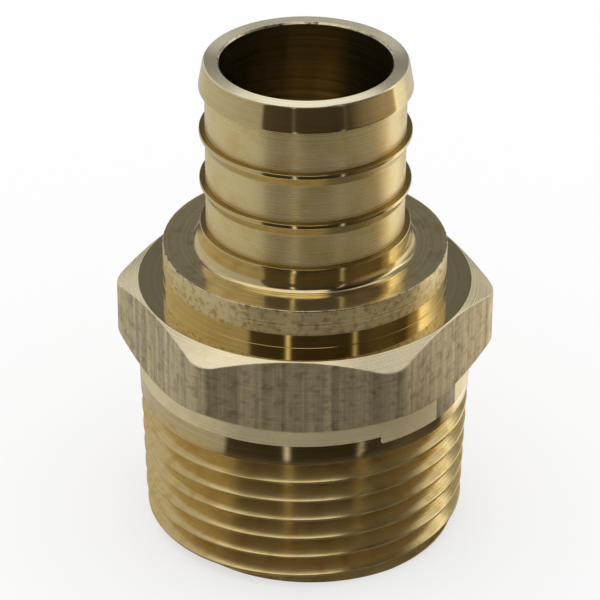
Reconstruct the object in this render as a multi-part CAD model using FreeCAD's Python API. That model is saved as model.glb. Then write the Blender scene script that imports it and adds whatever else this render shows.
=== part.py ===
"""Crimp adapter for plastic tube, turned and milled from one piece of brass bar.

The fitting stands on its threaded end, with the tube spigot on top. +Z is its
axis, the origin is the centre of the threaded end, and two wrench flats face
-Y and +Y. It is one solid: a turned section about the axis, milled to a
hexagon in the middle, with a tapered pipe thread cut into its lower end.
"""
import FreeCAD, Part
import math
import os

# Lengths along the axis, from the threaded end up, in millimetres
THREADED_LENGTH = 13.7
NECK_LENGTH = 1.45
HEX_LENGTH = 6.45
FLANGE_THICKNESS = 3.3
SPIGOT_LENGTH = 15.9

# Waterway
BORE_RADIUS = 6.8
BORE_LEAD_CHAMFER = 0.6
MOUTH_CHAMFER = 0.15

# Tapered pipe thread of the three quarter inch size, 14 turns to the inch
THREAD_PITCH = 1.8143
THREAD_DEPTH = 1.4514
FLANK_ANGLE = 30.0
CREST_RADIUS_AT_END = 13.015
TAPER_ON_RADIUS = 1.0 / 32.0
FIRST_CREST_HEIGHT = 1.22
FIRST_CREST_ANGLE = -92.0
RUNOUT_TURNS = 0.9
END_CHAMFER_WIDTH = 0.57
END_CHAMFER_HEIGHT = 1.0

# Hexagon for the wrench
ACROSS_FLATS = 27.0
HEX_CORNER_RADIUS = 2.6
TOP_CHAMFER_START_RADIUS = 13.4
TOP_CHAMFER_ANGLE = 27.0
BOTTOM_CHAMFER_ANGLE = 37.0

# Round flange that the tube and its crimp ring stop against
FLANGE_RADIUS = 11.4
FLANGE_EDGE_CHAMFER = 0.15

# Spigot that the tube is pushed over, its heights taken from the flange
LAND_RADIUS = 7.93
CROWN_RADIUS = 8.4
BASE_COLLAR_LENGTH = 1.95
BASE_FLARE = 0.35
FIRST_RIB_HEIGHT = 5.87
RIB_PITCH = 4.32
RIB_COUNT = 2
RIB_CROWN_WIDTH = 0.3
RIB_RAMP_LENGTH = 0.85
TIP_COLLAR_LENGTH = 2.1
TIP_CROWN_WIDTH = 0.16
TIP_RADIUS = 8.05
NOSE_CHAMFER = 0.1

# Heights that follow from the lengths
HEX_BOTTOM = THREADED_LENGTH + NECK_LENGTH
HEX_TOP = HEX_BOTTOM + HEX_LENGTH
FLANGE_TOP = HEX_TOP + FLANGE_THICKNESS
OVERALL_LENGTH = FLANGE_TOP + SPIGOT_LENGTH


def crest_radius(height):
    """Radius of the thread's crest cone at a height above the threaded end."""
    return CREST_RADIUS_AT_END + TAPER_ON_RADIUS * height


def slope(run, degrees):
    """Rise over a run at an angle in degrees."""
    return run * math.tan(math.radians(degrees))


def spigot_outline():
    """Radius and height of the spigot's corners, from the tip down."""
    tip_back = OVERALL_LENGTH - TIP_COLLAR_LENGTH
    corners = [
        (TIP_RADIUS - NOSE_CHAMFER, OVERALL_LENGTH),
        (TIP_RADIUS, OVERALL_LENGTH - NOSE_CHAMFER),
        (CROWN_RADIUS, tip_back + TIP_CROWN_WIDTH),
        (CROWN_RADIUS, tip_back),
        (LAND_RADIUS, tip_back),
    ]
    for index in reversed(range(RIB_COUNT)):
        rib_top = FLANGE_TOP + FIRST_RIB_HEIGHT + index * RIB_PITCH
        corners += [
            (LAND_RADIUS, rib_top),
            (CROWN_RADIUS, rib_top),
            (CROWN_RADIUS, rib_top - RIB_CROWN_WIDTH),
            (LAND_RADIUS, rib_top - RIB_CROWN_WIDTH - RIB_RAMP_LENGTH),
        ]
    collar_top = FLANGE_TOP + BASE_COLLAR_LENGTH
    corners += [
        (LAND_RADIUS, collar_top),
        (CROWN_RADIUS, collar_top),
        (CROWN_RADIUS, FLANGE_TOP + BASE_FLARE),
        (CROWN_RADIUS + BASE_FLARE, FLANGE_TOP),
    ]
    return corners


def wrench_outline():
    """Corners below the spigot: flange, double chamfered rim and neck."""
    neck_radius = crest_radius(THREADED_LENGTH)
    rim_radius = ACROSS_FLATS / math.sqrt(3.0)
    top_drop = slope(rim_radius - TOP_CHAMFER_START_RADIUS, TOP_CHAMFER_ANGLE)
    bottom_rise = slope(rim_radius - neck_radius, BOTTOM_CHAMFER_ANGLE)
    return [
        (FLANGE_RADIUS - FLANGE_EDGE_CHAMFER, FLANGE_TOP),
        (FLANGE_RADIUS, FLANGE_TOP - FLANGE_EDGE_CHAMFER),
        (FLANGE_RADIUS, HEX_TOP),
        (TOP_CHAMFER_START_RADIUS, HEX_TOP),
        (rim_radius, HEX_TOP - top_drop),
        (rim_radius, HEX_BOTTOM + bottom_rise),
        (neck_radius, HEX_BOTTOM),
        (neck_radius, THREADED_LENGTH),
    ]


def bore_outline():
    """Corners of the waterway, which opens out at both ends."""
    return [
        (BORE_RADIUS + MOUTH_CHAMFER, OVERALL_LENGTH),
        (BORE_RADIUS, OVERALL_LENGTH - MOUTH_CHAMFER),
        (BORE_RADIUS, BORE_LEAD_CHAMFER),
        (BORE_RADIUS + BORE_LEAD_CHAMFER, 0.0),
    ]


def turned(outline):
    """A solid of revolution about the axis, from its outside corners top to bottom."""
    corners = [(0.0, outline[0][1])] + outline + [(0.0, outline[-1][1])]
    points = [FreeCAD.Vector(radius, 0.0, height) for radius, height in corners]
    section = Part.Face(Part.makePolygon(points + points[:1]))
    return section.revolve(FreeCAD.Vector(0, 0, 0), FreeCAD.Vector(0, 0, 1), 360)


def hexagon_mill():
    """What the milling takes off: a ring outside the hexagon with its rounded corners."""
    corner_distance = ACROSS_FLATS / math.sqrt(3.0)
    corners = []
    for index in range(6):
        angle = math.radians(60.0 * index)
        x, y = corner_distance * math.cos(angle), corner_distance * math.sin(angle)
        corners.append(FreeCAD.Vector(x, y, HEX_BOTTOM))
    along = FreeCAD.Vector(0, 0, HEX_LENGTH)
    bar = Part.Face(Part.makePolygon(corners + corners[:1])).extrude(along)
    upright = [edge for edge in bar.Edges if abs(edge.tangentAt(edge.FirstParameter).z) > 0.9]
    bar = bar.makeFillet(HEX_CORNER_RADIUS, upright)
    stock = Part.makeCylinder(corner_distance + 1.0, HEX_LENGTH, FreeCAD.Vector(0, 0, HEX_BOTTOM))
    return stock.cut(bar)


def upper_body():
    """Spigot, flange, hexagon and neck."""
    return turned(spigot_outline() + wrench_outline()).cut(hexagon_mill())


def groove_edge(side):
    """One of the three long edges of the thread groove, a helix on a cone.

    side is 0 at the sharp root, and -1 or 1 where the lower or upper flank
    runs out just above the crests. Over the last turns the helix climbs
    outwards until the groove has left the metal, half a pitch below the neck.
    """
    points_per_turn = 16
    start_height = FIRST_CREST_HEIGHT - 1.5 * THREAD_PITCH
    end_height = THREADED_LENGTH - THREAD_PITCH / 2.0
    turns = (end_height - start_height) / THREAD_PITCH
    above_root = abs(side) * (THREAD_DEPTH + 0.03 * THREAD_PITCH)
    count = int(math.ceil(turns * points_per_turn))
    points = []
    for index in range(count + 1):
        turn = turns * index / count
        height = start_height + THREAD_PITCH * turn
        fade = max(0.0, 1.0 - (turns - turn) / RUNOUT_TURNS)
        lift = 1.01 * THREAD_DEPTH * fade * fade * (3.0 - 2.0 * fade)
        radius = crest_radius(height) - THREAD_DEPTH + above_root + lift
        angle = math.radians(FIRST_CREST_ANGLE) + 2.0 * math.pi * turn
        x, y = radius * math.cos(angle), radius * math.sin(angle)
        points.append(FreeCAD.Vector(x, y, height + side * slope(above_root, FLANK_ANGLE)))
    curve = Part.BSplineCurve()
    curve.interpolate(points)
    return curve.toShape()


def thread_groove():
    """The single-start groove that leaves the thread standing, as one long solid."""
    edges = [groove_edge(side) for side in (-1, 0, 1)]
    faces = [Part.makeRuledSurface(edges[i - 1], edges[i]) for i in range(3)]
    for end in (0, -1):
        corners = [edge.Vertexes[end].Point for edge in edges]
        faces.append(Part.Face(Part.makePolygon(corners + corners[:1])))
    skin = Part.makeCompound(faces)
    skin.sewShape(1e-4)
    groove = Part.Solid(skin.Shells[0])
    if groove.Volume < 0:
        groove.reverse()
    return groove


def threaded_shank():
    """The tapered thread, cut in over-long stock and then faced off and chamfered."""
    below = -2.0 * THREAD_PITCH
    stock = turned([
        (crest_radius(THREADED_LENGTH), THREADED_LENGTH),
        (crest_radius(below), below),
    ])
    end_radius = crest_radius(0.0) - END_CHAMFER_WIDTH
    growth = (crest_radius(END_CHAMFER_HEIGHT) - end_radius) / END_CHAMFER_HEIGHT
    envelope_radius = crest_radius(THREADED_LENGTH) + 1.0
    facing = turned([
        (envelope_radius, THREADED_LENGTH),
        (envelope_radius, (envelope_radius - end_radius) / growth),
        (end_radius, 0.0),
    ])
    return stock.cut(thread_groove()).common(facing)


def fitting_body():
    """The finished fitting: the two ends joined in one, and the waterway bored through."""
    body = upper_body().fuse(threaded_shank()).cut(turned(bore_outline()))
    return body.Solids[0]


os.makedirs("parts", exist_ok=True)
fitting_body().exportStep("parts/fitting_body.step")
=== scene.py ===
"""Looks of the crimp fitting: one brass turning with a tube spigot, a wrench hexagon and a taper thread.

The fitting is one closed mesh, worked out in millimetres as rows of points round the axis and
scaled to metres at the end. The rows run up out of the mouth of the bore, down the outside, across
the threaded end and back up the bore. Each stretch of rows has the finish that its tool left there.
"""
import math

import bmesh
import bpy
import numpy as np
from mathutils import Matrix


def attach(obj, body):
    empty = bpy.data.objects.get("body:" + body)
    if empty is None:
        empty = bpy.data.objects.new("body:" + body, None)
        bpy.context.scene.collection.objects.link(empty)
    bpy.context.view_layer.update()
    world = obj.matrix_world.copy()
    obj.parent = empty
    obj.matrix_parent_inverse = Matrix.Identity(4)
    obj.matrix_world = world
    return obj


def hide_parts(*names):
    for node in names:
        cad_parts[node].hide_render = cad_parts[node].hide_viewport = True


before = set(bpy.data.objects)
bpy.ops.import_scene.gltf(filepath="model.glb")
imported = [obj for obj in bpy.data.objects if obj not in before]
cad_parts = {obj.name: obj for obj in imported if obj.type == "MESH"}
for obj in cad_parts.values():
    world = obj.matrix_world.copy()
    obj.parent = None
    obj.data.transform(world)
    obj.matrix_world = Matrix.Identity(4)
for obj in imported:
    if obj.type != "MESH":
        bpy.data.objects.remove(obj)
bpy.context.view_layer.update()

MM = 0.001

# Heights of the turning in millimetres, from the threaded end up
THREADED_LENGTH = 13.7
HEX_BOTTOM = 15.15
HEX_TOP = 21.6
BAND_BOTTOM = 22.72
FLANGE_TOP = 24.9
BASE_COLLAR_TOP = 26.85
RIB_TOPS = (35.09, 30.77)
TIP_COLLAR_BACK = 38.7
OVERALL_LENGTH = 40.8

# Radii, chamfers and widths of the turning
BORE_RADIUS = 6.8
BORE_LEAD_CHAMFER = 0.6
MOUTH_CHAMFER = 0.15
LAND_RADIUS = 7.93
CROWN_RADIUS = 8.4
TIP_RADIUS = 8.05
TIP_CROWN_WIDTH = 0.16
RIB_CROWN_WIDTH = 0.3
RIB_RAMP_LENGTH = 0.85
FOOT_ROUNDING = 0.75
FLANGE_RADIUS = 11.4
FLANGE_ROUNDING = 0.08
TOP_CHAMFER_START = 13.4
TOP_CHAMFER_SLOPE = math.tan(math.radians(27.0))
BOTTOM_CHAMFER_SLOPE = math.tan(math.radians(37.0))

# Hexagon for the wrench, and how many points half a flat and a corner have
ACROSS_FLATS = 27.0
HEX_CORNER_RADIUS = 2.6
HALF_FLAT_POINTS = 14
CORNER_POINTS = 13

# Tapered pipe thread of the three quarter inch size
PITCH = 1.8143
THREAD_DEPTH = 1.4514
FLANK_SLOPE = math.tan(math.radians(30.0))
CREST_RADIUS_AT_END = 13.015
TAPER_ON_RADIUS = 1.0 / 32.0
FIRST_CREST_HEIGHT = 1.22
FIRST_CREST_ANGLE = math.radians(-92.0)
RUNOUT_TURNS = 0.9
RUNOUT_LIFT = 1.01
RUNOUT_LENGTH = 1.4
END_CHAMFER_WIDTH = 0.57
END_CHAMFER_HEIGHT = 1.0
ROOT_ROUNDING = 0.04
CREST_ROUNDING = 0.03

# Rows of one flank of the groove as shares of its half width, and the least share left of that width
FLANK_ROWS = (1.04, 1.0, 0.96, 0.88, 0.6, 0.3, 0.12, 0.04)
NARROWEST_GROOVE = 0.25

# The neck's matte band: its lower edge climbs round the fitting and drops back at one place
NECK_EDGE = 13.88
NECK_EDGE_CLIMB = 0.66
NECK_EDGE_DROP_AT = 29.4

# The patch of bar skin that is left on the neck, in degrees right of the front
SKIN_PATCH_AT = 60.5
SKIN_PATCH_HALF_WIDTH = 6.5

# Depth in the bore where the rows begin and end
SEAM_DEPTH = 4.0
# An arc reaches over less than half of its shorter side, and has a row this near to either end of it
ARC_SHARE = 0.46
GUARD_GAP = 0.03
GUARD_SHARE = 0.05
# How near the middle of a face lies to a line when it is on it, the same beside the hexagon's chamfers, and
# how far a finish reaches past an edge
NEAR = 0.02
NEAR_CHAMFER = 0.03
EDGE_REACH = 0.05
# Points this near in metres are merged, and edges with a greater angle stay sharp
MERGE_DISTANCE = 1e-7
SHARP_ANGLE = math.radians(40)

# The camera of the photograph, from the fit to its rings, silhouettes and thread crests
CAMERA_ELEVATION = math.radians(33.85)
CAMERA_AZIMUTH = math.radians(2.4)
CAMERA_DISTANCE = 272.28
CAMERA_YAW = math.radians(-0.084)
CAMERA_PITCH = math.radians(3.50)
CAMERA_ROLL = math.radians(0.334)
FOCAL_LENGTH_IN_PIXELS = 3241.0
PHOTO_SIZE = 600.0

# The studio tent, and the height in it that elevations are measured from
TENT_RADIUS = 400.0
TENT_FLOOR = 0.4
SIGHT_HEIGHT = 20.0
# Elevation where the camera looks after two bounces, off an upright face and a level one
TWICE_MIRRORED = 33.5
# Daylight under the bore: its reach from the axis, its middle, its width and its strength
DAYLIGHT_REACH = 6.9
DAYLIGHT_RIGHT, DAYLIGHT_FORWARD = 2.0, 0.5
DAYLIGHT_WIDTH = 1.8
DAYLIGHT_STRENGTH = 3.6
# Share of the floor's brightness that only the camera sees
FLOOR_GLOW = 0.6


def hexagon_outline():
    """Angle and radius of the hexagon at every column, once round from the middle of the back flat.

    Each sixth is half a flat, a corner arc about its own centre and half a flat, which mirrors the
    first. The columns lie evenly along the flats and evenly round the arcs. All the other rows use
    the same angles.
    """
    flat_distance = ACROSS_FLATS / 2
    arc_centre = flat_distance - HEX_CORNER_RADIUS
    half_flat = arc_centre * math.tan(math.radians(30))
    along = np.linspace(0.0, half_flat, HALF_FLAT_POINTS)
    turn = np.radians(np.linspace(0.0, 60.0, CORNER_POINTS))[1:-1]
    x = np.concatenate([np.full(along.size, flat_distance), arc_centre + HEX_CORNER_RADIUS * np.cos(turn)])
    y = np.concatenate([along, half_flat + HEX_CORNER_RADIUS * np.sin(turn)])
    angle, radius = np.arctan2(y, x), np.hypot(x, y)
    mirrored = slice(along.size - 1, 0, -1)
    angle = np.concatenate([angle, math.radians(60) - angle[mirrored]])
    radius = np.concatenate([radius, radius[mirrored]])
    angles = np.concatenate([math.radians(90 + 60 * sixth) + angle for sixth in range(6)])
    radii = np.tile(radius, 6)
    return np.append(angles, angles[0] + 2 * math.pi), np.append(radii, radii[0])


def crest_radius(height):
    """Radius of the thread's crest cone: it grows by one part in 32 of the height."""
    return CREST_RADIUS_AT_END + TAPER_ON_RADIUS * height


ANGLES, HEX_RADII = hexagon_outline()
# Degrees round the axis from the middle of the front flat towards the right one
ROUND = (np.degrees(ANGLES) + 90) % 360
NECK_RADIUS = crest_radius(THREADED_LENGTH)
# Height of the matte band's edge: a helix of one turn that ends where it drops back
NECK_END = NECK_EDGE - NECK_EDGE_CLIMB * (((NECK_EDGE_DROP_AT - ROUND) / 360) % 1.0)
# Height of the groove's root where the groove begins, and its number of turns from there
GROOVE_START = FIRST_CREST_HEIGHT - 1.5 * PITCH
GROOVE_TURNS = (THREADED_LENGTH - PITCH / 2 - GROOVE_START) / PITCH


def lathe(corners):
    """Rows of (radius, height) over all columns, for corners given as (radius, height, rounding, steps).

    A corner is replaced by an arc of its rounding: it starts tan(turn / 2) times the rounding before
    the corner, and each point is start + rounding * (sin a * way in + (1 - cos a) * inward normal).
    Where a side is short the rounding shrinks, so that an arc uses less than half of it. One more row
    lies just before and just after each arc, which keeps the shading of the straight sides flat. A
    corner of no steps is a plain row on a straight side.
    """
    points = np.stack([
        np.stack([np.broadcast_to(radius, ANGLES.shape), np.broadcast_to(height, ANGLES.shape)], axis=-1)
        for radius, height, rounding, steps in corners
    ]).astype(float)
    rows = [points[0]]
    for index in range(1, len(corners) - 1):
        rounding, steps = corners[index][2:]
        if steps == 0:
            rows.append(points[index])
            continue
        before = points[index] - points[index - 1]
        after = points[index + 1] - points[index]
        length_before = np.linalg.norm(before, axis=-1, keepdims=True)
        length_after = np.linalg.norm(after, axis=-1, keepdims=True)
        way_in, way_out = before / length_before, after / length_after
        cosine = np.sum(way_in * way_out, axis=-1, keepdims=True)
        turn = np.arccos(np.clip(cosine, -1.0, 1.0))
        reach = np.minimum(rounding * np.tan(turn / 2), ARC_SHARE * np.minimum(length_before, length_after))
        radius = reach / np.tan(turn / 2)
        normal = way_out - cosine * way_in
        normal /= np.linalg.norm(normal, axis=-1, keepdims=True)
        start = points[index] - reach * way_in
        rows.append(start - np.minimum(GUARD_GAP, GUARD_SHARE * length_before) * way_in)
        for step in range(steps + 1):
            a = turn * step / steps
            rows.append(start + radius * (np.sin(a) * way_in + (1 - np.cos(a)) * normal))
        end = points[index] + reach * way_out
        rows.append(end + np.minimum(GUARD_GAP, GUARD_SHARE * length_after) * way_out)
    rows.append(points[-1])
    return rows


def fade_out(turn):
    """Share of the groove that has climbed out of the metal: a smooth step over the last turns."""
    return smooth_step(turn, GROOVE_TURNS - RUNOUT_TURNS, GROOVE_TURNS)


def smooth_step(value, low, high):
    """0 below low, 1 above high, and between them s * s * (3 - 2 * s) of the share s of the way."""
    share = np.clip((value - low) / (high - low), 0.0, 1.0)
    return share * share * (3 - 2 * share)


def thread_radius(height, angle):
    """Radius of the thread at a height and an angle, in one closed form.

    The turn is the one whose root passes nearest. The cut is as deep as what is left of the groove
    there less the height away from its root over the flank's slope; it fades out over the last turns.
    The mean of the cut and of its length with the rounding takes the crests' edges off softly. The
    lead chamfer cuts everything off along a cone.
    """
    phase = (angle - FIRST_CREST_ANGLE) / (2 * math.pi)
    turn = np.round((height - GROOVE_START) / PITCH - phase) + phase
    depth = THREAD_DEPTH * (1 - RUNOUT_LIFT * fade_out(turn))
    from_root = np.hypot(height - GROOVE_START - PITCH * turn, ROOT_ROUNDING) / FLANK_SLOPE
    cut = depth - from_root
    threaded = crest_radius(height) - (cut + np.hypot(cut, CREST_ROUNDING)) / 2
    end_radius = CREST_RADIUS_AT_END - END_CHAMFER_WIDTH
    growth = (crest_radius(END_CHAMFER_HEIGHT) - end_radius) / END_CHAMFER_HEIGHT
    return np.minimum(threaded, end_radius + growth * height)


def thread_rows():
    """Rows of (radius, height) that climb with the thread, from the neck down to the threaded end.

    A row stays at one share of the groove's half width above or below its root, so it follows the
    root, a flank or a crest. Rows that leave the threaded length are held at its ends, where they
    coincide and are merged later. At the top that is up to 0.02 mm inside the neck's last row.
    """
    phase = (ANGLES - FIRST_CREST_ANGLE) / (2 * math.pi)
    shares = FLANK_ROWS + tuple(-share for share in reversed(FLANK_ROWS))
    heights = []
    for groove in range(int(GROOVE_TURNS), -2, -1):
        turn = groove + phase
        root = GROOVE_START + PITCH * turn
        half_width = THREAD_DEPTH * FLANK_SLOPE * np.maximum(1 - fade_out(turn), NARROWEST_GROOVE)
        heights += [root + share * half_width for share in shares]
    heights.append(np.zeros(ANGLES.shape))
    heights = np.minimum(np.clip(np.stack(heights), 0.0, THREADED_LENGTH), NECK_END)
    return list(np.stack([thread_radius(heights, ANGLES), heights], axis=-1))


def spigot_corners():
    """Corners of the spigot, from inside its mouth over the end face down to the flange's rim."""
    corners = [
        (BORE_RADIUS, OVERALL_LENGTH - SEAM_DEPTH, 0.0, 1),
        (BORE_RADIUS, OVERALL_LENGTH - MOUTH_CHAMFER, 0.05, 2),
        (BORE_RADIUS + MOUTH_CHAMFER, OVERALL_LENGTH, 0.05, 2),
        (TIP_RADIUS, OVERALL_LENGTH, 0.20, 5),
        (CROWN_RADIUS, TIP_COLLAR_BACK + TIP_CROWN_WIDTH, 0.10, 3),
        (CROWN_RADIUS, TIP_COLLAR_BACK, 0.04, 3),
        (LAND_RADIUS, TIP_COLLAR_BACK, 0.08, 3),
    ]
    for top in RIB_TOPS:
        corners += [
            (LAND_RADIUS, top, 0.04, 2),
            (CROWN_RADIUS, top, 0.06, 3),
            (CROWN_RADIUS, top - RIB_CROWN_WIDTH, 0.10, 3),
            (LAND_RADIUS, top - RIB_CROWN_WIDTH - RIB_RAMP_LENGTH, 0.30, 3),
        ]
    corners += [
        (LAND_RADIUS, BASE_COLLAR_TOP, 0.04, 2),
        (CROWN_RADIUS, BASE_COLLAR_TOP, 0.10, 4),
        (CROWN_RADIUS, FLANGE_TOP, FOOT_ROUNDING, 10),
        (FLANGE_RADIUS, FLANGE_TOP, FLANGE_ROUNDING, 4),
    ]
    return corners


def wrench_corners():
    """Corners from the flange's band down to the end of the neck; the hexagon's follow its columns."""
    return [
        (FLANGE_RADIUS, BAND_BOTTOM, 0.0, 0),
        (FLANGE_RADIUS, HEX_TOP, 0.03, 2),
        (TOP_CHAMFER_START, HEX_TOP, 0.20, 2),
        (HEX_RADII, HEX_TOP - (HEX_RADII - TOP_CHAMFER_START) * TOP_CHAMFER_SLOPE, 0.12, 3),
        (HEX_RADII, HEX_BOTTOM + (HEX_RADII - NECK_RADIUS) * BOTTOM_CHAMFER_SLOPE, 0.08, 3),
        (NECK_RADIUS, HEX_BOTTOM, 0.10, 3),
        (NECK_RADIUS, NECK_END, 0.0, 1),
    ]


def bore_corners():
    """Corners of the threaded end's face and of the bore, back up to where the rows began."""
    return [
        (thread_radius(0.0, ANGLES), 0.0, 0.0, 1),
        (BORE_RADIUS + BORE_LEAD_CHAMFER, 0.0, 0.05, 2),
        (BORE_RADIUS, BORE_LEAD_CHAMFER, 0.08, 2),
        (BORE_RADIUS, OVERALL_LENGTH - SEAM_DEPTH, 0.0, 1),
    ]


def finish_of(radius, height):
    """Number of each face's finish, from the radius and height of its middle.

    The places below are tried in their order, and the first that holds the middle gives the finish.
    A face in none of them is polished.
    """
    def between(low, high):
        return (height > low) & (height < high)

    def below(tops, high, low):
        """True between two depths under any of the tops."""
        return np.any([between(top - low, top - high) for top in tops], axis=0)

    cone = HEX_TOP - (radius - TOP_CHAMFER_START) * TOP_CHAMFER_SLOPE
    neck_end = (NECK_END[:-1] + NECK_END[1:]) / 2
    place = (ROUND[:-1] + ROUND[1:]) / 2
    at_mouth = height > OVERALL_LENGTH - MOUTH_CHAMFER - NEAR / 2
    mouth = at_mouth & (radius < BORE_RADIUS + MOUTH_CHAMFER - NEAR / 2)
    flange_edge = np.abs(radius - FLANGE_RADIUS) < FLANGE_ROUNDING + NEAR
    flange_edge &= between(FLANGE_TOP - FLANGE_ROUNDING, FLANGE_TOP + NEAR)
    steps = RIB_TOPS + (BASE_COLLAR_TOP,)
    on_neck = (radius > FLANGE_RADIUS) & between(neck_end + NEAR, (HEX_BOTTOM + HEX_TOP) / 2)
    ramp = below(RIB_TOPS, RIB_CROWN_WIDTH + EDGE_REACH, RIB_CROWN_WIDTH + RIB_RAMP_LENGTH)
    runout_bottom = THREADED_LENGTH - RUNOUT_LENGTH
    places = {
        # The mouth's chamfer and the flange's edge, whose patches are partly painted glints and painted
        # shade.
        "burr": mouth | flange_edge,
        "bored": (radius < BORE_RADIUS + EDGE_REACH) | (height < NEAR / 2),
        "end": height > OVERALL_LENGTH - EDGE_REACH,
        # The inside corner of each step, whose finish is painted shade.
        "corner": below(steps, -EDGE_REACH, NEAR) & (radius < CROWN_RADIUS - NEAR),
        # The slanted ramp behind each rib, whose finish is painted shade.
        "ramps": ramp & (radius > LAND_RADIUS + NEAR / 2) & (radius < CROWN_RADIUS - NEAR / 2),
        "lands": (radius < CROWN_RADIUS - NEAR) & between(BASE_COLLAR_TOP + NEAR, TIP_COLLAR_BACK - NEAR),
        "band": (radius > FLANGE_RADIUS - NEAR) & between(BAND_BOTTOM, FLANGE_TOP - 2 * FLANGE_ROUNDING),
        "faced": (radius > CROWN_RADIUS + NEAR) & between(FLANGE_TOP - NEAR / 2, FLANGE_TOP + 2 * EDGE_REACH),
        "mirror": (radius > FLANGE_RADIUS + NEAR) & (np.abs(height - HEX_TOP) < NEAR / 2),
        "chamfer": (radius > TOP_CHAMFER_START) & (np.abs(height - cone) < NEAR_CHAMFER),
        "drawn": (radius > NECK_RADIUS + NEAR_CHAMFER) & between(HEX_BOTTOM, HEX_TOP),
        "unturned": on_neck & (np.abs(place - SKIN_PATCH_AT) < SKIN_PATCH_HALF_WIDTH),
        "neck": on_neck,
        "runout": between(runout_bottom, NECK_EDGE) & (radius > crest_radius(height) - EDGE_REACH),
        "thread": height < THREADED_LENGTH,
    }
    finishes = list(FINISH_MATERIALS)
    numbers = [finishes.index(name) for name in places]
    return np.select(list(places.values()), numbers, default=finishes.index("polished"))


def grid_quads(count_rows, count_columns):
    """Corner numbers of the quads of a grid of points that are counted row by row."""
    number = np.arange(count_rows * count_columns).reshape(count_rows, count_columns)
    corners = [number[:-1, :-1], number[1:, :-1], number[1:, 1:], number[:-1, 1:]]
    return np.stack(corners, axis=-1).reshape(-1, 4)


def lathe_mesh(name, rows):
    """A closed mesh from rows of (radius, height) over the columns; the last row is the first again.

    A point is (radius cos angle, radius sin angle, height). The texture map holds the distance
    along the profile in millimetres and the turn round the axis, so its first axis runs across
    the tool marks.
    """
    profile = np.stack(rows)
    radius, height = profile[..., 0], profile[..., 1]
    points = np.stack([radius * np.cos(ANGLES), radius * np.sin(ANGLES), height], axis=-1) * MM
    steps = np.hypot(np.diff(radius, axis=0), np.diff(height, axis=0))
    distance = np.concatenate([np.zeros((1, ANGLES.size)), np.cumsum(steps, axis=0)])
    # The way over the hexagon is longer at its corners, so the count starts level again at the neck
    neck_row = np.argmax((height[:, 0] < HEX_BOTTOM) & (radius[:, 0] > FLANGE_RADIUS))
    distance[neck_row:] += distance[neck_row, 0] - distance[neck_row]
    turn = np.broadcast_to((ANGLES - ANGLES[0]) / (2 * math.pi), radius.shape)

    quads = grid_quads(*radius.shape)
    mesh = bpy.data.meshes.new(name)
    mesh.from_pydata(points.reshape(-1, 3), [], quads)
    lathe_map = mesh.uv_layers.new(name="lathe")
    flat_map = np.stack([distance, turn], axis=-1).reshape(-1, 2)
    lathe_map.uv.foreach_set("vector", flat_map[quads.ravel()].ravel())
    middle_radius = (radius[:-1, :-1] + radius[1:, :-1]) / 2
    middle_height = (height[:-1, :-1] + height[1:, :-1]) / 2
    mesh.polygons.foreach_set("material_index", finish_of(middle_radius, middle_height).ravel())

    build = bmesh.new()
    build.from_mesh(mesh)
    bmesh.ops.remove_doubles(build, verts=build.verts, dist=MERGE_DISTANCE)
    build.to_mesh(mesh)
    build.free()
    mesh.shade_smooth()
    mesh.set_sharp_from_angle(angle=SHARP_ANGLE)
    return mesh


def put_in_scene(name, data):
    """A new object at the origin with a mesh or a camera as its data."""
    thing = bpy.data.objects.new(name, data)
    bpy.context.scene.collection.objects.link(thing)
    return thing


def empty_tree(owner):
    """The node tree of a new material or world, with nothing in it yet."""
    owner.use_nodes = True
    owner.node_tree.nodes.clear()
    return owner.node_tree


def add(tree, kind, settings=None, **sockets):
    """Adds a node, sets its settings, and fills its sockets with values or with other nodes' sockets.

    A socket is named with an underscore for each space, or by its number, such as i0.
    """
    node = tree.nodes.new(kind)
    for name, value in (settings or {}).items():
        setattr(node, name, value)
    for name, value in sockets.items():
        by_number = name[0] == "i" and name[1:].isdigit()
        socket = node.inputs[int(name[1:]) if by_number else name.replace("_", " ")]
        if isinstance(value, bpy.types.NodeSocket):
            tree.links.new(value, socket)
        else:
            socket.default_value = value
    return node


def linear(code):
    """Linear colour with alpha, from an sRGB hex value such as F3DFA9."""
    channels = [int(code[i:i + 2], 16) / 255 for i in (0, 2, 4)]
    return tuple(c / 12.92 if c <= 0.04045 else ((c + 0.055) / 1.055) ** 2.4 for c in channels) + (1.0,)


def noise(tree, place, size, detail):
    """A noise with features of a size in millimetres, at a place in millimetres."""
    return add(
        tree, "ShaderNodeTexNoise", None, Vector=place, Scale=1 / size, Detail=detail, Roughness=0.6,
    ).outputs[0]


def ranged(tree, value, low, high, at_low, at_high):
    """A value that goes from one number to another while the first goes from low to high."""
    return add(
        tree, "ShaderNodeMapRange", None, Value=value,
        From_Min=low, From_Max=high, To_Min=at_low, To_Max=at_high,
    ).outputs[0]


def math_node(tree, operation, first, second):
    """Sum, product or other operation of two values."""
    return add(tree, "ShaderNodeMath", {"operation": operation}, i0=first, i1=second).outputs[0]


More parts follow.
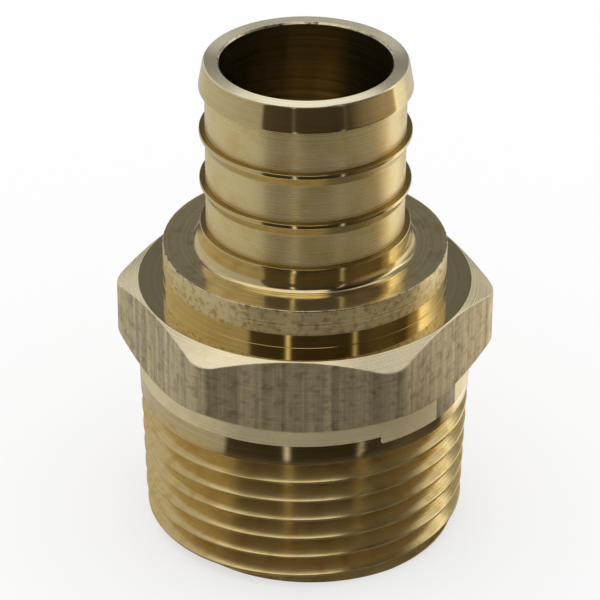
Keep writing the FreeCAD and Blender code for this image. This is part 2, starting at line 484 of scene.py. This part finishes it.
def brass(
    name, colour, stain, roughness, anisotropy, turned=0.0,
    lines=(0.2, 0.002, 0.1), streaks=(0.3, 0.0, 0.0), patches=(2.5, 0.3), spread=0.0, dull=0.0, lean=0.0,
):
    """Brass as a tool left it, metallic, with tool marks that stretch its highlights across them.

    lines: spacing and depth in millimetres and darkening of the circles that the tool cut, a noise of
    the distance along the profile. streaks: the same for marks along the axis, a noise of the place
    squeezed in height. patches: size in millimetres and share of the stain, a noise of the place.
    turned: turn of the highlights, a quarter where the marks run along the axis. spread: how far the
    roughness goes either side of its mean from one circle to the next. dull: share of the surface that
    is torn, pitted or tarnished and scatters light all round. lean: slope of the circles' long sides,
    which a facing tool leaves falling outwards.
    """
    material = bpy.data.materials.new(name)
    tree = empty_tree(material)
    place = add(tree, "ShaderNodeTexCoord").outputs["Object"]
    place = add(tree, "ShaderNodeVectorMath", {"operation": "SCALE"}, Vector=place, Scale=1 / MM).outputs[0]
    lathe_map = add(tree, "ShaderNodeUVMap", {"uv_map": "lathe"}).outputs[0]
    along = add(tree, "ShaderNodeSeparateXYZ", None, Vector=lathe_map).outputs[0]
    circles = add(
        tree, "ShaderNodeTexNoise", {"noise_dimensions": "1D"},
        W=along, Scale=1 / lines[0], Detail=2.0, Roughness=0.65,
    ).outputs[0]
    shade = ranged(tree, circles, 0.35, 0.65, 1 - lines[2], 1.0)
    relief = math_node(tree, "MULTIPLY", circles, lines[1])
    if lean > 0:
        relief = math_node(tree, "SUBTRACT", relief, math_node(tree, "MULTIPLY", along, lean))
    bump = add(tree, "ShaderNodeBump", None, Strength=1.0, Distance=MM, Height=relief).outputs[0]
    if streaks[1] > 0:
        squeezed = add(tree, "ShaderNodeVectorMath", {"operation": "MULTIPLY"}, i0=place, i1=(1.0, 1.0, 0.02))
        drawn = noise(tree, squeezed.outputs[0], streaks[0], 6.0)
        shade = math_node(tree, "MULTIPLY", shade, ranged(tree, drawn, 0.35, 0.65, 1 - streaks[2], 1.0))
        bump = add(
            tree, "ShaderNodeBump", None, Strength=1.0, Distance=streaks[1] * MM, Height=drawn, Normal=bump,
        ).outputs[0]
    # In most finishes the stain is a real stain. In the corner and ramp finishes colour and stain are painted
    # shade,
    # and in the burred edge's the pale colour is painted glints and the stain painted shade.
    share = ranged(tree, noise(tree, place, patches[0], 4.0), 0.48, 0.66, 0.0, patches[1])
    tone = add(
        tree, "ShaderNodeMix", {"data_type": "RGBA"}, i0=share, i6=linear(colour), i7=linear(stain),
    ).outputs[2]
    tone = add(tree, "ShaderNodeVectorMath", {"operation": "SCALE"}, Vector=tone, Scale=shade).outputs[0]
    if spread > 0:
        roughness = ranged(tree, circles, 0.3, 0.7, roughness - spread, roughness + spread)
    tangent = add(tree, "ShaderNodeTangent", {"direction_type": "UV_MAP", "uv_map": "lathe"}).outputs[0]
    shader = add(
        tree, "ShaderNodeBsdfPrincipled", None,
        Base_Color=tone, Metallic=1 - dull, Roughness=roughness, Anisotropic=anisotropy,
        Anisotropic_Rotation=turned, Normal=bump, Tangent=tangent,
    )
    add(tree, "ShaderNodeOutputMaterial", None, Surface=shader.outputs[0])
    return material


# The bar's drawn skin: streaks along the axis, and tarnish in patches near a millimetre. Real streaks go down
# to a tenth of a millimetre, too fine to show here, so they are drawn some 0.6 mm wide.
DRAWN = dict(streaks=(0.6, 0.006, 0.40), patches=(0.9, 0.5), turned=0.25)

# All of it is one yellow leaded brass, and the finishes differ in how each surface was cut. The tool marks
# really lie 0.03 to 0.1 mm apart. That is too fine to show at 0.08 mm a pixel, so all but the burred edge's
# are drawn coarser. The piece's material slots have this order.
# The corner, ramp and burred edge finishes also carry painted shade, and the burred edge painted glints.
FINISH_MATERIALS = {
    # Faced across by a tool: fine circles spread the light into a bright fan over the end face.
    "end": brass(
        "faced end brass", "FCF2D0", "E4D6AC", 0.26, 0.60, lines=(0.12, 0.002, 0.1), dull=0.05, lean=0.27,
    ),
    # An edge broken by hand: pale rubbed metal and brown grime in patches, partly painted glints and shade.
    "burr": brass(
        "burred edge brass with painted glints and shade", "F6E8C0", "6A5230", 0.30, 0.0, lines=(0.05, 0.004, 0.1), patches=(0.5, 1.0),
    ),
    # Burnished by a form tool: crowns that mirror the lamps in short bright streaks.
    "polished": brass("polished turned brass", "F2DCA2", "E0C080", 0.12, 0.75, lines=(0.30, 0.0005, 0.1)),
    # Painted shade in the inside corners: a darker, warmer line along each step.
    "corner": brass("painted shade corner brass", "B09658", "7C6436", 0.25, 0.5, lines=(0.10, 0.001, 0.1)),
    # Turned on a slant: a soft brown sheen behind each rib, its colour darkened as painted shade.
    "ramps": brass(
        "painted shade ramp brass", "D2BE86", "BAA068", 0.36, 0.55, lines=(0.12, 0.004, 0.12), patches=(1.0, 0.5),
        dull=0.09,
    ),
    # Turned fast with a round tool: a satin face with uneven rings and a pale haze.
    "lands": brass(
        "rough turned brass", "F4DEA4", "E6C97E", 0.35, 0.55, lines=(0.12, 0.004, 0.12), patches=(2.4, 0.7),
        spread=0.10, dull=0.17,
    ),
    # Roughened by a roller and then handled: small brown blotches on a dull face.
    "band": brass(
        "roughened band brass", "F0DCA6", "A98C54", 0.42, 0.40, lines=(0.16, 0.004, 0.15), patches=(0.5, 0.7),
        spread=0.15, dull=0.15,
    ),
    # Faced with a sharp tool and lightly scuffed: reflections that are clear but broken by blotches.
    "faced": brass(
        "faced flange brass", "EFDDAC", "CDB684", 0.14, 0.3, lines=(0.30, 0.0006, 0.15), patches=(1.5, 0.6),
        dull=0.05,
    ),
    # Faced by the flat of the tool: the brightest cut, which mirrors the flange above it.
    "mirror": brass("mirror faced brass", "EFDDAC", "D8C08A", 0.05, 0.0, lines=(0.30, 0.0002, 0.1)),
    # Chamfered with a chattering tool: a pale silky ring with fine circles.
    "chamfer": brass(
        "chamfered brass", "F9EBC4", "E0CE9C", 0.28, 0.60, lines=(0.12, 0.004, 0.15), spread=0.1, dull=0.30,
    ),
    # The bar's own drawn and tarnished skin on the flats: grey-brown streaks along the axis.
    "drawn": brass("drawn hexagon brass", "F1DFB2", "A08A5C", 0.44, 0.60, dull=0.155, **DRAWN),
    # What the tool left of that skin on the neck: the same streaks, a little greyer.
    "unturned": brass("drawn patch brass", "E0D2B0", "A09070", 0.46, 0.60, dull=0.14, **DRAWN),
    # Turned dry to a matte band: pale, with next to no reflection.
    "neck": brass(
        "matte neck brass", "FBEBBE", "E8D6A4", 0.5, 0.4, lines=(0.15, 0.003, 0.1), patches=(2.0, 0.5),
        dull=0.23,
    ),
    # Turned smooth ahead of the thread: dark and glossy, with clear lamp streaks.
    "runout": brass("runout brass", "F2DCA2", "DDBC78", 0.13, 0.75, lines=(0.20, 0.001, 0.2)),
    # Cut by a threading tool: warm yellow flanks with a soft shine along each turn.
    "thread": brass(
        "cut thread brass", "F1D898", "DDBB70", 0.20, 0.50, lines=(0.10, 0.002, 0.2), patches=(1.6, 0.7),
        dull=0.08,
    ),
    # Drilled and reamed: coarse rings that the daylight from below runs over.
    "bored": brass("bored brass", "F0E2BC", "D8C48C", 0.19, 0.20, lines=(0.35, 0.004, 0.3)),
}

rows = lathe(spigot_corners() + wrench_corners()) + thread_rows() + lathe(bore_corners())
body = put_in_scene("machined_body", lathe_mesh("machined_body", rows))
for material in FINISH_MATERIALS.values():
    body.data.materials.append(material)
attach(body, "root")
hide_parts("fitting_body")


def photo_camera():
    """The photograph's camera: an orbit about the axis, then small turns, and its lens."""
    def turned_by(first, second, angle):
        return (
            first * math.cos(angle) + second * math.sin(angle),
            second * math.cos(angle) - first * math.sin(angle),
        )

    sine, cosine = math.sin(CAMERA_ELEVATION), math.cos(CAMERA_ELEVATION)
    forward, up = np.array([0.0, cosine, -sine]), np.array([0.0, sine, cosine])
    right = np.array([1.0, 0.0, 0.0])
    location = -forward * CAMERA_DISTANCE * MM
    forward, right = turned_by(forward, right, CAMERA_YAW)
    forward, up = turned_by(forward, up, CAMERA_PITCH)
    right, up = turned_by(right, up, CAMERA_ROLL)
    placed = np.eye(4)
    placed[:3] = np.stack([right, up, -forward, location], axis=-1)
    data = bpy.data.cameras.new("photo camera")
    data.sensor_width = 36.0
    data.lens = FOCAL_LENGTH_IN_PIXELS / PHOTO_SIZE * data.sensor_width
    data.clip_start = 0.01
    camera = put_in_scene("photo camera", data)
    camera.matrix_world = Matrix.Rotation(CAMERA_AZIMUTH, 4, "Z") @ Matrix(placed.tolist())
    return camera


def bell(value, middle, width):
    """1 at the middle, and elsewhere e to the minus square of the distance over the width."""
    return np.exp(-((value - middle) / width) ** 2)


def side_sheets(azimuth, elevation):
    """White sheets: a dimmer one from the left round to the back, and a bright one on the right.

    The right one fades upwards, but for a bright strip that is seen after two bounces.
    """
    sheets = np.interp(
        azimuth, (-180, -150, -100, -61, -46, -43, 102, 107, 122, 133, 150, 165, 180),
        (0.50, 0.55, 0.47, 0.40, 0.36, 0.0, 0.0, 1.30, 1.20, 0.90, 0.82, 0.70, 0.50),
    )
    dim = 0.62 * smooth_step(elevation, 5, 25) - 0.9 * bell(elevation, TWICE_MIRRORED, 2.5)
    sheets = sheets * (1 - dim * smooth_step(azimuth, 112, 126))
    strip = smooth_step(azimuth, 103, 110) * (1 - smooth_step(azimuth, 130, 142))
    sheets = sheets * (1 + 0.9 * strip * bell(elevation, TWICE_MIRRORED, 3.0))
    return sheets * (1 - 0.25 * smooth_step(azimuth, 100, 112) * smooth_step(elevation, -20, -14))


def front_flag(azimuth, elevation):
    """The dark flag in front: its light by azimuth times its light by elevation."""
    flag = np.interp(
        azimuth, (-46, -43, -20, 0, 30, 45, 60, 72, 80, 88, 91),
        (0.0, 1.5, 1.1, 1.0, 0.9, 1.3, 2.2, 2.4, 1.9, 1.6, 0.0),
    )
    return flag * np.interp(elevation, (-35, -25, -5, 10, 25, 32), (0.035, 0.024, 0.045, 0.07, 0.05, 0.037))


def warm_edge(azimuth, elevation):
    """The warm edge of the right sheet: narrow and bright low down, wide and dim above that, then faint."""
    narrow = np.interp(azimuth, (88, 92, 97, 102, 107), (0.0, 0.45, 0.75, 0.90, 0.0))
    wide = np.interp(azimuth, (45, 70, 84, 102, 107), (0.0, 0.12, 0.24, 0.42, 0.0))
    share = smooth_step(elevation, -20, -8) * (1 - smooth_step(elevation, 14, 26))
    return (narrow * (1 - share) + wide * share) * (1 - 0.6 * smooth_step(elevation, 20, 28))


def lamp_streaks(azimuth, elevation):
    """Two narrow lamps beside the front, each a bell in azimuth; both lean a little outwards as they rise."""
    heights = (-35, -20, -5, 30)
    left = bell(azimuth, np.interp(elevation, heights, (-9.0, -10.5, -12.0, -13.1)), 1.5)
    right = bell(azimuth, np.interp(elevation, heights, (30.6, 38.1, 40.5, 40.6)), 1.5)
    return (left + 0.6 * right) * np.interp(
        elevation, (-50, -37, -34, -32, -30, -27, -24, -17, -12, -5, 15, 27, 42, 50),
        (0.04, 0.08, 0.9, 0.9, 0.3, 0.3, 1.2, 1.2, 0.25, 0.06, 0.06, 1.05, 1.05, 0.2),
    )


def tent_light(azimuth, elevation):
    """Light of the studio tent by direction in degrees; azimuth 0 is towards the camera, 90 its right.

    Up to a height of some 50 degrees it changes mostly with azimuth, as sheets, flag, edge and lamps
    add up. On the floor near the fitting they give way to a soft glow. The wall behind is dark grey
    with a paler strip low in its middle. A soft box fills everything overhead, but for a dark gap on
    the right.
    """
    def coloured(light, colour):
        return light[..., None] * np.array(colour)

    azimuth = (azimuth + 180) % 360 - 180
    white, warm, brown = (1.0, 1.0, 1.0), (1.0, 0.84, 0.64), (1.0, 0.82, 0.62)
    near = 1 - smooth_step(elevation, -44, -36)
    glow = 0.10 + 0.35 * smooth_step(-azimuth, 30, 90) + 0.6 * smooth_step(azimuth, 80, 120)
    light = coloured((1 - near) * side_sheets(azimuth, elevation) + lamp_streaks(azimuth, elevation), white)
    light += coloured((1 - near) * front_flag(azimuth, elevation) + near * glow, brown)
    light += coloured((1 - near) * warm_edge(azimuth, elevation), warm)

    behind = smooth_step(np.abs(azimuth), 150, 160) * smooth_step(elevation, -6, 4)
    middle = smooth_step(np.abs(azimuth), 160, 170)
    grey = 0.08 + 0.07 * smooth_step(elevation, 18, 27) + 0.5 * middle * (1 - smooth_step(elevation, 18, 26))
    light = light * (1 - behind)[..., None] + coloured(grey * behind, white)

    gap = smooth_step(azimuth, 20, 60) * (1 - smooth_step(azimuth, 112, 124))
    light = light * (1 - 0.8 * gap * smooth_step(elevation, 44, 52))[..., None]
    start = 50 + 24 * gap - 8 * smooth_step(np.abs(azimuth), 130, 160)
    overhead = smooth_step(elevation, start, start + 8)
    return light * (1 - overhead)[..., None] + coloured(0.95 * overhead, white)


def studio_tent():
    """A floor and a dome round the fitting, which only its reflections see.

    It is turned about the axis from floor rings and an arc of the dome. Each point has its light as
    a colour. Under the bore, daylight lies as a round spot.
    """
    azimuth = np.radians(np.linspace(-180, 180, 721))
    under_bore = [0.1, 1, 2, 3, 4, 5, 6, DAYLIGHT_REACH]
    beyond = [7.0, 15, 20, 24, 28, 32, 37, 43, 49, 60, 90, 140, 220, TENT_RADIUS]
    dome = np.radians(np.arange(2, 90.1, 2.0))
    across = np.concatenate([under_bore + beyond, np.maximum(TENT_RADIUS * np.cos(dome), 1e-3)])[:, None]
    height = np.concatenate([np.zeros(len(under_bore + beyond)), TENT_RADIUS * np.sin(dome)])[:, None]
    across, height, azimuth = np.broadcast_arrays(across, TENT_FLOOR + height, azimuth)
    turned = azimuth + CAMERA_AZIMUTH
    points = np.stack([across * np.sin(turned), -across * np.cos(turned), height], axis=-1) * MM

    light = tent_light(np.degrees(azimuth), np.degrees(np.arctan2(height - SIGHT_HEIGHT, across)))
    right, forward = across * np.sin(azimuth) - DAYLIGHT_RIGHT, across * np.cos(azimuth) - DAYLIGHT_FORWARD
    spot = DAYLIGHT_STRENGTH * bell(np.hypot(right, forward), 0.0, DAYLIGHT_WIDTH)
    light[:len(under_bore)] = spot[:len(under_bore), :, None]

    mesh = bpy.data.meshes.new("studio tent")
    mesh.from_pydata(points.reshape(-1, 3), [], grid_quads(*height.shape))
    colours = mesh.color_attributes.new("light", "FLOAT_COLOR", "POINT")
    opaque = np.concatenate([light, np.ones(height.shape + (1,))], axis=-1)
    colours.data.foreach_set("color", opaque.ravel())
    material = bpy.data.materials.new("tent cloth")
    tree = empty_tree(material)
    cloth = add(tree, "ShaderNodeAttribute", {"attribute_name": "light"}).outputs["Color"]
    glow = add(tree, "ShaderNodeEmission", None, Color=cloth, Strength=1.0)
    add(tree, "ShaderNodeOutputMaterial", None, Surface=glow.outputs[0])
    mesh.materials.append(material)
    tent = put_in_scene("studio tent", mesh)
    tent.visible_camera = False
    tent.visible_diffuse = False
    tent.visible_shadow = False


def studio_floor():
    """A white floor that keeps the fitting's shadow; to the camera some of it shines by itself."""
    half_size = 3.0
    corners = [(-half_size, -half_size, 0), (half_size, -half_size, 0)]
    corners += [(half_size, half_size, 0), (-half_size, half_size, 0)]
    mesh = bpy.data.meshes.new("studio floor")
    mesh.from_pydata(corners, [], [(0, 1, 2, 3)])
    material = bpy.data.materials.new("white table")
    tree = empty_tree(material)
    shader = add(
        tree, "ShaderNodeBsdfPrincipled", None, Base_Color=(0.98, 0.98, 0.98, 1.0), Roughness=0.9,
        Specular_IOR_Level=0.0,
    )
    white = add(tree, "ShaderNodeEmission", None, Color=(1.0, 1.0, 1.0, 1.0), Strength=1.0)
    seen = add(tree, "ShaderNodeLightPath").outputs["Is Camera Ray"]
    share = math_node(tree, "MULTIPLY", seen, FLOOR_GLOW)
    surface = add(tree, "ShaderNodeMixShader", None, i0=share, i1=shader.outputs[0], i2=white.outputs[0])
    add(tree, "ShaderNodeOutputMaterial", None, Surface=surface.outputs[0])
    mesh.materials.append(material)
    floor = put_in_scene("studio floor", mesh)


def white_world():
    """A white world of strength 1."""
    world = bpy.data.worlds.new("white studio")
    tree = empty_tree(world)
    back = add(tree, "ShaderNodeBackground", None, Color=(1.0, 1.0, 1.0, 1.0), Strength=1.0)
    add(tree, "ShaderNodeOutputWorld", None, Surface=back.outputs[0])
    return world


bpy.context.scene.camera = photo_camera()
studio_tent()
studio_floor()
bpy.context.scene.world = white_world()
bpy.context.scene.view_settings.view_transform = "Standard"
